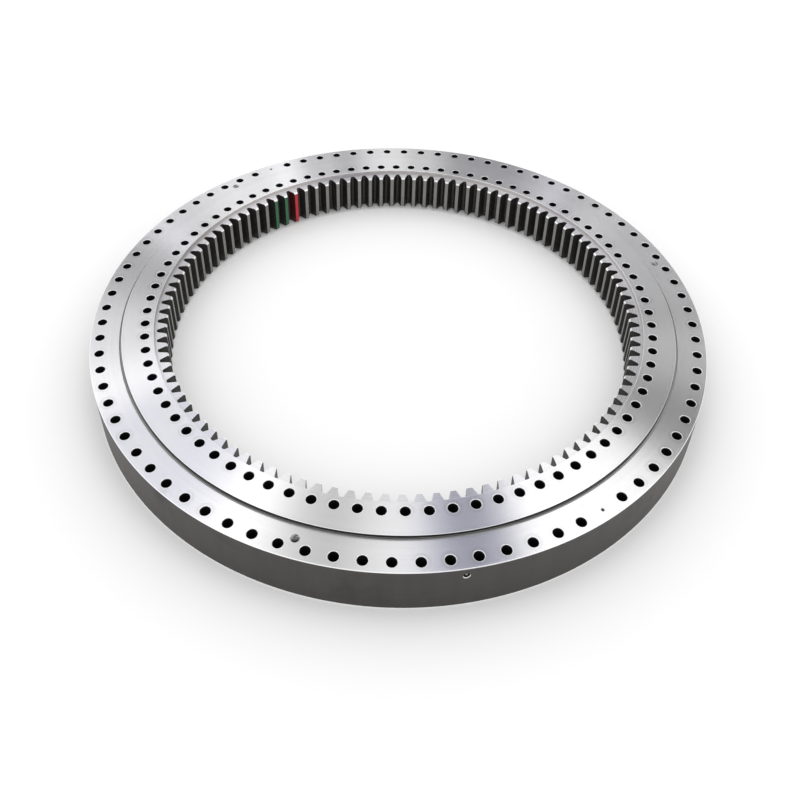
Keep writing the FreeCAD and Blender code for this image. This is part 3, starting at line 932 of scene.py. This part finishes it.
@dataclass
class OuterRing:
    """Ungeared outer ring with bolt holes, lifting threads, grease ports and plug bores."""

    rim: float = 0.961
    bore: float = 0.8745
    rim_chamfer: float = 0.002
    edge: float = 0.001
    groove_depth: float = 0.005
    groove_half: float = 0.003
    seal_heights: tuple[float, float] = (0.018, 0.142)
    bolts: BoltCircle = BoltCircle(0.9325, 0.0, (0, 42))
    lifting_radius: float = 0.908
    lifting_first: float = 2.5 * BOLT_PITCH
    thread_minor: float = 0.00865
    thread_major: float = 0.0101
    lifting_mouth: float = 0.0116
    thread_pitch: float = 0.0025
    thread_depth: float = 0.034
    thread_reach: float = 0.040
    raceway_reach: float = 0.020
    plug_radius: float = 0.023
    plug_clearance: float = 0.00005
    pin: TaperPin = TaperPin()
    port_height: float = 0.121
    port_first: float = 36.5 * BOLT_PITCH
    port_recess: float = 0.0085
    port_depth: float = 0.014
    port_lip: float = 0.0024
    port_thread: float = 0.005
    port_channel: float = 0.003

    PLUGS = (("upper", UPPER_ROW, 0.0), ("lower", LOWER_ROW, math.pi))

    def __post_init__(self) -> None:
        """Read the faces' heights from the frame."""
        low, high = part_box("fixed_outer_ring")
        self.low, self.high = low.z, high.z

    def blank(self) -> bmesh.types.BMesh:
        """Ring with raceways and seal grooves, before any hole."""
        bore, rim = self.bore, self.rim
        section = Section((bore, self.low + self.edge))
        self._seal_groove(section, self.seal_heights[0])
        LOWER_ROW.cut_into(section, 1, bore, True)
        UPPER_ROW.cut_into(section, 1, bore, True)
        self._seal_groove(section, self.seal_heights[1])
        section.line(
            (bore, self.high - self.edge), (bore + self.edge, self.high),
            (rim - self.rim_chamfer, self.high), (rim, self.high - self.rim_chamfer),
            (rim, self.low + self.rim_chamfer), (rim - self.rim_chamfer, self.low),
            (bore + self.edge, self.low),
        )
        return section.spun(RING_STEPS)

    def _seal_groove(self, section: Section, height: float) -> None:
        """Draw one seal's groove into the bore."""
        floor = self.bore + self.groove_depth
        low, high = height - self.groove_half, height + self.groove_half
        section.line((self.bore, low), (floor, low), (floor, high), (self.bore, high))

    def lifting_taps(self) -> bmesh.types.BMesh:
        """Threaded blind holes in the top face."""
        mouth = self.lifting_mouth
        section = Section((0.0, self.high + 0.001), (mouth + 0.001, self.high + 0.001))
        depth = mouth - self.thread_minor
        while depth < self.thread_depth:
            section.line((self.thread_minor, self.high - depth))
            section.line((self.thread_major, self.high - depth - self.thread_pitch / 2))
            depth += self.thread_pitch
        section.line((self.thread_minor, self.high - depth), (0.0, self.high - depth - 0.004))
        bm = section.spun(32, closed=False)
        bmesh.ops.translate(bm, verts=bm.verts, vec=(self.lifting_radius, 0.0, 0.0))
        repeat(bm, [self.lifting_first + n * math.tau / 3 for n in range(3)])
        return bm

    def port_angles(self) -> list[float]:
        """Angles of the grease ports."""
        return [self.port_first + n * math.tau / 4 for n in range(4)]

    def ports(self) -> bmesh.types.BMesh:
        """Sunk grease ports with their thread and channel."""
        seat = self.rim - self.port_depth
        over = 0.001
        section = Section(
            (0.0, self.bore + 0.002), (self.port_channel, self.bore + 0.002),
            (self.port_channel, seat - 0.011), (self.port_thread, seat - 0.011),
            (self.port_thread, seat), (self.port_recess, seat),
            (self.port_recess, self.rim - self.port_lip), (self.port_recess, self.rim - self.edge),
            (self.port_recess + self.edge + over, self.rim + over), (0.0, self.rim + over),
        )
        bm = section.spun(32, closed=False)
        turn_to_radius(bm, self.port_height, 0.0)
        repeat(bm, self.port_angles())
        return bm

    def plug_bore(self, row: Raceway, angle: float, radius: float) -> bmesh.types.BMesh:
        """Radial cylinder of a filler plug, from the ball row out past the rim."""
        length = self.rim + 0.003 - row.pitch_radius
        bm = bmesh.new()
        bmesh.ops.create_cone(
            bm, cap_ends=True, segments=64, radius1=radius, radius2=radius, depth=length
        )
        bmesh.ops.translate(bm, verts=bm.verts, vec=(0.0, 0.0, row.pitch_radius + length / 2))
        turn_to_radius(bm, row.height, angle)
        return bm

    def pin_foot(self, row: Raceway) -> float:
        """Height of the lower end of the taper pin that crosses a row's plug."""
        return row.height - self.plug_radius - self.pin.overrun

    def face_kind(self, centre: Vector, normal: Vector) -> OuterFace:
        """Kind of a face of the ring or of a plug."""
        radius = math.hypot(centre.x, centre.y)
        slope = abs(normal.z)
        depth = min(self.high - centre.z, centre.z - self.low)
        beside_bolts = self.bolts.away(centre)
        beside_taps = abs(radius - self.lifting_radius)
        if slope > FLAT and depth < FACE_GAP:
            return OuterFace.OUTER_GROUND_FACE
        # The rim takes the painted dark reflection.
        if radius > self.rim - self.rim_chamfer / 10 and slope < UPRIGHT:
            return OuterFace.RIM_PAINTED_REFLECTION
        # Hole walls and the inner part of each countersink take the painted shade.
        if beside_bolts < self.bolts.painted_shade:
            return OuterFace.SHADED_HOLE_WALL
        # Lifting threads take the painted highlight and shade stripes; their countersinks take the
        # painted highlight.
        if self.high - centre.z < self.thread_reach and beside_taps < self.lifting_mouth:
            countersunk = beside_bolts < self.bolts.mouth()
            return OuterFace.PAINTED_HIGHLIGHT_EDGE if countersunk else OuterFace.THREAD_PAINTED_STRIPES
        # Chamfers take the painted highlight.
        if slope > SLANTED and depth < self.rim_chamfer:
            return OuterFace.PAINTED_HIGHLIGHT_EDGE
        # The grease port lips take the painted highlight.
        port = abs(centre.z - self.port_height) < self.port_recess + self.edge
        if port and radius > self.rim - self.port_lip:
            return OuterFace.PAINTED_HIGHLIGHT_EDGE
        outward = normal.x * centre.x + normal.y * centre.y
        # The bore wall in the gap takes the painted shade; the raceways do not.
        if radius < self.bore + self.raceway_reach and outward < 0.0:
            grooved = UPPER_ROW.beside(centre.z) or LOWER_ROW.beside(centre.z)
            return OuterFace.RACEWAY if grooved else OuterFace.SHADED_WALL
        # Other recess walls take the painted shade as well.
        return OuterFace.SHADED_HOLE_WALL

    def build(self, shop: Shop) -> bpy.types.Object:
        """Model the ring, drill it and dress it."""
        ring = to_object("outer_ring_turned", self.blank())
        bore = self.plug_radius + self.plug_clearance
        drilled = [self.bolts.drills(self.low, self.high), self.lifting_taps(), self.ports()]
        for _, row, angle in self.PLUGS:
            drilled.append(self.pin.bore(self.high, self.pin_foot(row), angle))
        carve(ring, drilled)
        carve(ring, [self.plug_bore(row, angle, bore) for _, row, angle in self.PLUGS])
        sort_faces(ring, self.face_kind)
        shop.dress_by_kind(ring, OuterFace)
        return finish_piece(ring, Body.OUTER, Slot.OUTER_STEEL, "fixed_outer_ring")


@dataclass
class FillerPlugs:
    """The two plugs that close the ball filling bores, and the taper pins that hold them."""

    ring: OuterRing

    def build(self, shop: Shop) -> None:
        """Model both plugs and both pins."""
        ring = self.ring
        for name, row, angle in ring.PLUGS:
            plug = to_object(name + "_filler_plug_ground", ring.blank())
            carve(plug, [ring.plug_bore(row, angle, ring.plug_radius)], "INTERSECT")
            carve(plug, [ring.pin.bore(ring.high, ring.pin_foot(row), angle)])
            sort_faces(plug, ring.face_kind)
            shop.dress_by_kind(plug, OuterFace)
            finish_piece(plug, Body.OUTER, Slot.OUTER_STEEL, name + "_filler_plug")
            bm = ring.pin.body(ring.high, ring.pin_foot(row), angle)
            pin = to_object(name + "_taper_pin_ground", bm)
            sort_faces(pin)
            shop.dress(pin, "pin_end")
            finish_piece(pin, Body.OUTER, Slot.PIN, name + "_plug_taper_pin")


@dataclass
class GreaseNipples:
    """The four grease nipples, each seated in its sunk port."""

    ring: OuterRing
    hex_radius: float = 0.0062
    hex_height: float = 0.004
    shank: float = 0.00495
    shank_length: float = 0.008
    neck: float = 0.0024
    head: float = 0.0033
    inlet: float = 0.0009

    def build(self, shop: Shop) -> None:
        """Model the nipples."""
        for number, angle in enumerate(self.ring.port_angles(), start=1):
            nipple = to_object("grease_nipple_turned_{}".format(number), self._stem())
            carve(nipple, [self._hexagon()], "UNION")
            bm = bmesh.new()
            bm.from_mesh(nipple.data)
            turn_to_radius(bm, self.ring.port_height, angle)
            bm.to_mesh(nipple.data)
            bm.free()
            sort_faces(nipple)
            shop.dress(nipple, "zinc_plate")
            node = "grease_nipple_{}".format(number)
            finish_piece(nipple, Body.OUTER, Slot.PLATED, node)

    def _stem(self) -> bmesh.types.BMesh:
        """Shank, neck, head and inlet along +Z."""
        seat = self.ring.rim - self.ring.port_depth
        top = seat + self.hex_height
        lip = top + 0.003
        section = Section(
            (0.0, seat - self.shank_length), (self.shank - 0.0005, seat - self.shank_length),
            (self.shank, seat - self.shank_length + 0.0005), (self.shank, top),
            (self.neck, lip - 0.0008), (self.neck, lip),
            (self.head, lip + 0.0011), (self.head, lip + 0.0022), (self.neck, lip + 0.0038),
            (self.inlet * 1.6, lip + 0.004), (self.inlet, lip + 0.0036),
            (self.inlet, lip + 0.001), (0.0, lip + 0.0008),
        )
        return section.spun(32, closed=False)

    def _hexagon(self) -> bmesh.types.BMesh:
        """Hexagon with rounded corners, along +Z."""
        seat = self.ring.rim - self.ring.port_depth
        bm = bmesh.new()
        bmesh.ops.create_cone(
            bm, cap_ends=True, segments=6, radius1=self.hex_radius, radius2=self.hex_radius,
            depth=self.hex_height,
        )
        bmesh.ops.bevel(
            bm, geom=bm.edges[:], offset=0.0004, segments=2, profile=0.5, affect="EDGES",
            material=-1,
        )
        vec = (0.0, 0.0, seat + self.hex_height / 2)
        turned = Matrix.Rotation(math.pi / 6, 3, "Z")
        bmesh.ops.rotate(bm, verts=bm.verts, cent=CENTRE, matrix=turned)
        bmesh.ops.translate(bm, verts=bm.verts, vec=vec)
        return bm


@dataclass
class Seals:
    """The rubber ring seals that close the gap at the top and bottom."""

    ring: OuterRing
    inner_wall: float = 0.8675
    foot_clearance: float = 0.0001
    lip_clearance: float = 0.0004
    body_clearance: float = 0.0014
    body_thick: float = 0.008
    lip_thick: float = 0.002

    def build(self, shop: Shop) -> None:
        """Model both seals."""
        low, high = self.ring.seal_heights
        for name, height, way in (("bottom_seal", low, -1), ("top_seal", high, 1)):
            seal = to_object(name + "_rubber", self._profile(height, way).spun(RING_STEPS))
            sort_faces(seal)
            shop.dress(seal, "seal_rubber")
            finish_piece(seal, Body.OUTER, Slot.SEAL, name)

    def _profile(self, height: float, way: int) -> Section:
        """Foot, body and lip, with a rounded outer corner.

        Args:
            height: Height of the foot's middle.
            way: 1 where the body stands above its foot, -1 below.

        Returns:
            The section.
        """
        foot = self.ring.groove_half - self.foot_clearance
        wall = self.ring.bore - self.foot_clearance
        body = self.inner_wall + self.body_clearance
        lip = self.inner_wall + self.lip_clearance
        top = self.body_thick - foot
        floor = self.ring.bore + self.ring.groove_depth - self.foot_clearance
        outline = (
            (floor, -foot), (floor, foot), (wall, foot), (wall, top - 0.0008),
            (wall - 0.0008, top), (body + 0.0006, top), (body, top - 0.0006),
            (lip, top - self.lip_thick), (lip, top - 1.5 * self.lip_thick),
            (body, top - 2 * self.lip_thick), (body, -foot),
        )
        return Section(*((radius, height + way * offset) for radius, offset in outline))


# ------------------------------------------------------------------ inner ring


@dataclass
class InnerGearRing:
    """Inner ring with bolt holes, the register step and the internal gear."""

    wall: float = 0.8675
    edge: float = 0.001
    register: float = 0.772
    register_depth: float = 0.014
    track_low: float = 0.125
    track_top: float = 0.1505
    raceway_reach: float = 0.022
    bolts: BoltCircle = BoltCircle(0.799, BOLT_PITCH / 2)
    teeth: int = 107
    module: float = 0.014
    pressure_angle: float = math.radians(20)
    tip: float = 0.735
    root: float = 0.765
    root_fillet: float = 0.0035
    tip_chamfer: float = 0.0045
    backlash: float = 0.0004
    first_space: float = math.radians(1.06)
    red_tooth: int = 106
    green_teeth: tuple[int, ...] = (0, 1)
    cutter_overrun: float = 0.004
    flank_steps: int = 6
    fillet_steps: int = 3

    def __post_init__(self) -> None:
        """Read the faces' heights from the frame."""
        low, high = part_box("inner_gear_ring")
        self.low, self.high = low.z, high.z
        self.gear_top = self.high - self.register_depth

    def blank(self) -> bmesh.types.BMesh:
        """Ring turned to its tip circle, with raceways and the register step."""
        wall, tip = self.wall, self.tip
        section = Section((wall, self.low + self.edge))
        LOWER_ROW.cut_into(section, -1, wall, True)
        UPPER_ROW.cut_into(section, -1, wall, True)
        section.line(
            (wall, self.track_top), (wall, self.high - self.edge), (wall - self.edge, self.high),
            (self.register + self.edge, self.high), (self.register, self.high - self.edge),
            (self.register, self.gear_top), (tip + self.tip_chamfer, self.gear_top),
            (tip, self.gear_top - self.tip_chamfer), (tip, self.low + self.tip_chamfer),
            (tip + self.tip_chamfer, self.low), (wall - self.edge, self.low),
        )
        return section.spun(RING_STEPS)

    def space_half_angle(self, radius: float) -> float:
        """Half of the angle that a tooth space spans at a radius."""
        pitch_radius = self.module * self.teeth / 2
        local = math.acos(pitch_radius * math.cos(self.pressure_angle) / radius)
        lean = math.tan(self.pressure_angle) - self.pressure_angle - math.tan(local) + local
        return math.pi / (2 * self.teeth) + self.backlash / (2 * pitch_radius) + lean

    def tooth_spaces(self) -> bmesh.types.BMesh:
        """Closed cutters of all the tooth spaces, with involute flanks and filleted roots."""
        middle, fillet = self.root - self.root_fillet, self.root_fillet
        half = middle * self.space_half_angle(middle)
        nudge = 0.001
        below = middle - nudge
        lean = math.atan((below * self.space_half_angle(below) - half) / nudge)
        offset = half - fillet / math.cos(lean)
        start = middle + fillet * math.sin(lean)
        inner = self.tip - self.cutter_overrun
        side: list[tuple[float, float]] = []
        for step in range(self.flank_steps + 1):
            radius = inner + (start - inner) * step / self.flank_steps
            side.append((radius, radius * self.space_half_angle(radius)))
        for step in range(1, self.fillet_steps + 1):
            turn = lean + (math.pi / 2 - lean) * step / self.fillet_steps
            side.append((middle + fillet * math.sin(turn), offset + fillet * math.cos(turn)))
        over = 0.002
        bm = bmesh.new()
        loop = [(r, -y) for r, y in side] + [(r, y) for r, y in reversed(side)]
        verts = [
            bm.verts.new((r * math.cos(y / r), r * math.sin(y / r), self.low - over))
            for r, y in loop
        ]
        face = bm.faces.new(verts)
        raised = bmesh.ops.extrude_face_region(bm, geom=[face])["geom"]
        top = [g for g in raised if isinstance(g, bmesh.types.BMVert)]
        height = self.gear_top + over - (self.low - over)
        bmesh.ops.translate(bm, verts=top, vec=(0.0, 0.0, height))
        tidy(bm)
        pitch = math.tau / self.teeth
        repeat(bm, [self.first_space + n * pitch for n in range(self.teeth)])
        return bm

    def tooth_number(self, centre: Vector) -> int:
        """Number of the tooth that a face belongs to, counted from the first space."""
        pitch = math.tau / self.teeth
        turn = math.atan2(centre.y, centre.x) - self.first_space
        return math.floor(turn / pitch) % self.teeth

    def face_kind(self, centre: Vector, normal: Vector) -> InnerFace:
        """Kind of a face of the ring."""
        radius = math.hypot(centre.x, centre.y)
        slope = abs(normal.z)
        beside_bolts = self.bolts.away(centre)
        if slope > FLAT:
            above = centre.z > self.high - FACE_GAP
            below = centre.z < self.low + FACE_GAP and radius > self.root + self.edge
            return InnerFace.INNER_GROUND_FACE if above or below else InnerFace.TOOTH_END
        outward = normal.x * centre.x + normal.y * centre.y
        if radius > self.wall - self.raceway_reach and outward > 0.0:
            return self._wall_face(centre, slope)
        if abs(radius - self.register) < self.edge / 2 and slope < SLANTED:
            return InnerFace.REGISTER_WALL
        # Countersinks: painted shade down towards the hole, painted highlight round the mouth.
        if beside_bolts < self.bolts.mouth():
            painted_shade = beside_bolts < self.bolts.painted_shade
            return InnerFace.SHADED_HOLE_WALL if painted_shade else InnerFace.PAINTED_HIGHLIGHT_EDGE
        if radius < self.root + self.edge:
            return self._tooth_face(centre, normal, radius, slope)
        # Remaining edges take the painted highlight.
        return InnerFace.PAINTED_HIGHLIGHT_EDGE

    def _wall_face(self, centre: Vector, slope: float) -> InnerFace:
        """Kind of a face of the ring's outward wall, with its raceways and seal track."""
        if UPPER_ROW.beside(centre.z) or LOWER_ROW.beside(centre.z):
            return InnerFace.RACEWAY
        # The wall's chamfers take the painted highlight.
        if slope > SLANTED:
            return InnerFace.PAINTED_HIGHLIGHT_EDGE
        # Above and below the seal track the wall takes the painted shade.
        track = self.track_low < centre.z < self.track_top
        return InnerFace.SEAL_TRACK if track else InnerFace.SHADED_WALL

    def _tooth_face(
        self, centre: Vector, normal: Vector, radius: float, slope: float
    ) -> InnerFace:
        """Kind of a face of the gear, with the painted mark teeth."""
        tooth = self.tooth_number(centre)
        tip = radius < self.tip + self.edge / 2 and slope < UPRIGHT
        chamfer = slope > SLANTED
        round_way = normal.y * centre.x - normal.x * centre.y
        if tooth == self.red_tooth and (tip or chamfer and centre.z < self.high / 2):
            return InnerFace.RED_PAINT
        # The red tooth's flank gets the red paint darkened as painted shade.
        if tooth == self.red_tooth and not chamfer and round_way > 0.0:
            return InnerFace.SHADED_RED_PAINT
        if tooth in self.green_teeth and tip:
            return InnerFace.GREEN_PAINT
        # Tooth chamfers take the painted highlight.
        if chamfer:
            return InnerFace.PAINTED_HIGHLIGHT_EDGE
        # Flanks take the painted shade.
        return InnerFace.TOOTH_TIP if tip else InnerFace.SHADED_TOOTH_FLANK

    def build(self, shop: Shop) -> bpy.types.Object:
        """Model the ring, drill it, cut its teeth and dress it."""
        ring = to_object("inner_gear_ring_cut", self.blank())
        carve(ring, [self.bolts.drills(self.low, self.high), self.tooth_spaces()])
        sort_faces(ring, self.face_kind)
        shop.dress_by_kind(ring, InnerFace)
        return finish_piece(ring, Body.INNER, Slot.INNER_STEEL, "inner_gear_ring")


# ------------------------------------------------------------------ rolling elements


@dataclass(frozen=True)
class BallRow:
    """One row of balls in its cage segments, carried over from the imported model."""

    name: str
    body: Body
    segments: int = 6

    def dress(self, shop: Shop) -> None:
        """Give the balls and the cage segments their finishes."""
        nodes = frame["nodes"]
        shop.dress(nodes[self.name + "_balls"], "bearing_ball")
        for number in range(1, self.segments + 1):
            shop.dress(nodes["{}_cage_segment_{}".format(self.name, number)], "cage_nylon")
        log.info("%s row: balls and %d cage segments", self.name, self.segments)


# ------------------------------------------------------------------ studio


@dataclass(frozen=True)
class Band:
    """A point of the overhead lighting: where round the ring it shows, how bright, how cold."""

    degrees: float
    brightness: float
    cold: float = 0.0

    def colour(self) -> tuple[float, float, float, float]:
        """The light's colour."""
        warm = self.brightness * (1.0 - 0.16 * self.cold)
        return (warm, warm, self.brightness * (1.0 + 0.1 * self.cold), 1.0)


BANDS = (
    Band(0, 0.25), Band(6, 0.33), Band(15, 0.25), Band(22, 0.34), Band(27, 0.27), Band(30, 0.49),
    Band(39, 0.49), Band(42, 0.31), Band(45, 0.10, 0.5), Band(48, 0.83, 0.4), Band(51, 0.49, 0.4),
    Band(57, 0.20, 0.4), Band(61, 0.07, 0.4), Band(66, 0.13, 0.4), Band(71, 0.14, 0.3),
    Band(76, 0.08, 0.3), Band(81, 0.40), Band(84, 0.68), Band(87, 0.20), Band(90, 0.86),
    Band(99, 0.80), Band(101, 0.49), Band(105, 0.10, 0.3), Band(108, 0.65), Band(111, 0.62),
    Band(114, 0.28, 0.2), Band(117, 1.07), Band(120, 1.45), Band(126, 0.83), Band(136, 0.89),
    Band(150, 0.49), Band(156, 0.98, 0.3), Band(160, 0.40), Band(168, 0.13), Band(177, 0.31),
    Band(180, 0.46), Band(186, 0.80), Band(198, 0.89, 0.2), Band(201, 1.23), Band(210, 1.45),
    Band(213, 0.83, 0.5), Band(217, 0.83, 0.5), Band(222, 0.92, 0.2), Band(232, 0.86, 0.5),
    Band(239, 1.01, 0.3), Band(243, 1.45), Band(250, 1.30), Band(254, 0.71), Band(261, 0.49),
    Band(267, 0.89), Band(273, 1.10), Band(277, 0.56, 1), Band(281, 0.25, 1), Band(288, 0.46, 1),
    Band(291, 1.45), Band(315, 1.30), Band(318, 0.98), Band(321, 0.31), Band(330, 0.10),
    Band(336, 0.22), Band(342, 0.52), Band(345, 0.37), Band(351, 0.56), Band(357, 0.27),
)


@dataclass
class Studio:
    """Pale floor, soft lights and the camera."""

    ring_radius: float = 0.9325
    top_height: float = 0.150
    turn: float = -124.054
    elevation: float = 36.046
    roll: float = 1.4935
    distance: float = 3.33994
    focal: float = 857.041
    target: tuple[float, float] = (-0.005532, 0.449534)
    frame_size: float = 800.0
    centre_row: float = 225.0
    refinements: int = 3

    def _axes(self) -> tuple[Vector, Vector, Vector]:
        """Camera right, up and back, before the turn about the bearing axis."""
        rise, bank = math.radians(self.elevation), math.radians(self.roll)
        back = Vector((0.0, -math.cos(rise), math.sin(rise)))
        right = Vector((1.0, 0.0, 0.0))
        up = back.cross(right)
        return (
            math.cos(bank) * right + math.sin(bank) * up,
            math.cos(bank) * up - math.sin(bank) * right,
            back,
        )

    def _viewpoint(self) -> Vector:
        """Camera place over the top face, in bolt circle radii, before the turn."""
        return Vector((*self.target, 0.0)) + self._axes()[2] * self.distance

    def camera(self) -> None:
        """Place the camera that looks down on the ring from the front."""
        place = self._viewpoint() * self.ring_radius + Vector((0.0, 0.0, self.top_height))
        data = bpy.data.cameras.new("camera")
        data.sensor_width = 36.0
        data.lens = self.focal / self.frame_size * data.sensor_width
        data.shift_y = self.centre_row / self.frame_size - 0.5
        data.clip_end = 100.0
        made = bpy.data.objects.new("camera", data)
        spin = Matrix.Rotation(math.radians(self.turn), 4, "Z")
        axes = Matrix(self._axes()).transposed().to_4x4()
        made.matrix_world = spin @ Matrix.Translation(place) @ axes
        bpy.context.scene.collection.objects.link(made)
        bpy.context.scene.camera = made

    def floor(self) -> None:
        """Lay the plain pale floor."""
        bm = bmesh.new()
        bmesh.ops.create_grid(bm, x_segments=1, y_segments=1, size=30.0)
        floor = to_object("floor", bm)
        made, w, shader = blank_material("pale_floor")
        w.feed(shader.inputs["Base Color"], (0.93, 0.93, 0.93, 1.0))
        shader.inputs["Roughness"].default_value = 0.9
        floor.data.materials.append(made)

    def overhead(self) -> None:
        """Hang strips of light and dark gaps all round, and an even glow for matt surfaces."""
        world = bpy.data.worlds.new("studio")
        bpy.context.scene.world = world
        world.use_nodes = True
        w = Wiring(world.node_tree)
        turned = w.node("Mapping")
        w.feed(turned.inputs["Vector"], w.node("TexCoord").outputs["Generated"])
        turned.inputs["Rotation"].default_value = (0.0, 0.0, -math.radians(self.turn))
        parts = w.node("SeparateXYZ")
        w.feed(parts.inputs[0], turned.outputs[0])
        x, y, z = parts.outputs
        eye = self._viewpoint()
        reach = w.maths("DIVIDE", eye.z, w.maths("MAXIMUM", z, 0.03))
        over_x = w.maths("MULTIPLY_ADD", x, reach, eye.x)
        over_y = w.maths("MULTIPLY_ADD", y, reach, eye.y)
        sine = w.maths("DIVIDE", over_y, w.radius(over_x, over_y))
        for _ in range(self.refinements):
            far = w.maths("MULTIPLY_ADD", sine, -2.0 * eye.y, eye.length_squared + 1.0)
            lean = w.maths("DIVIDE", -eye.y, w.maths("SQRT", far))
            rise = w.maths("SUBTRACT", y, lean)
            outward = w.maths("MULTIPLY_ADD", rise, over_y, w.maths("MULTIPLY", x, over_x))
            side = w.maths("SIGN", outward)
            across, along = w.maths("MULTIPLY", x, side), w.maths("MULTIPLY", rise, side)
            sine = w.maths("DIVIDE", along, w.radius(across, along))
        turn = w.maths("ARCTAN2", along, across)
        share = w.maths("WRAP", w.maths("DIVIDE", turn, math.tau), 1.0, 0.0)
        half = len(BANDS) // 2
        rear = w.maths("GREATER_THAN", share, BANDS[half].degrees / 360.0)
        strips = w.tint(
            rear, self._ramp(w, share, BANDS[:half]), self._ramp(w, share, BANDS[half:])
        )
        glossy = w.node("LightPath").outputs["Is Glossy Ray"]
        backdrop = world.node_tree.nodes["Background"]
        w.feed(backdrop.inputs["Color"], w.tint(glossy, (1.0, 1.0, 1.0), strips))
        backdrop.inputs["Strength"].default_value = 1.05

    def _ramp(
        self, w: Wiring, share: bpy.types.NodeSocket, bands: tuple[Band, ...]
    ) -> bpy.types.NodeSocket:
        """Colours of the bands at a share of the way round."""
        ramp = w.node("ValToRGB")
        stops = ramp.color_ramp.elements
        while len(stops) < len(bands):
            stops.new(0.5)
        for stop, band in zip(stops, bands):
            stop.position = band.degrees / 360.0
            stop.color = band.colour()
        w.feed(ramp.inputs[0], share)
        return ramp.outputs[0]

    def key_light(self) -> None:
        """Add one large soft light for the matt surfaces."""
        data = bpy.data.lights.new("key", "AREA")
        data.size = 3.0
        data.energy = 30.0
        made = bpy.data.objects.new("key", data)
        made.matrix_world = Matrix.Translation((0.0, 0.0, 5.0))
        made.visible_glossy = False
        bpy.context.scene.collection.objects.link(made)

    def build(self) -> None:
        """Set up the whole studio."""
        bpy.context.scene.view_settings.view_transform = "Standard"
        self.camera()
        self.floor()
        self.overhead()
        self.key_light()


def main() -> None:
    """Build the bearing piece by piece, then the studio."""
    logging.basicConfig(level=logging.INFO, format="%(name)s %(message)s")
    shop = Shop()
    outer = OuterRing()
    outer.build(shop)
    FillerPlugs(outer).build(shop)
    GreaseNipples(outer).build(shop)
    Seals(outer).build(shop)
    InnerGearRing().build(shop)
    BallRow("upper", Body.UPPER_BALLS).dress(shop)
    BallRow("lower", Body.LOWER_BALLS).dress(shop)
    Studio().build()


if __name__ == "__main__":
    main()
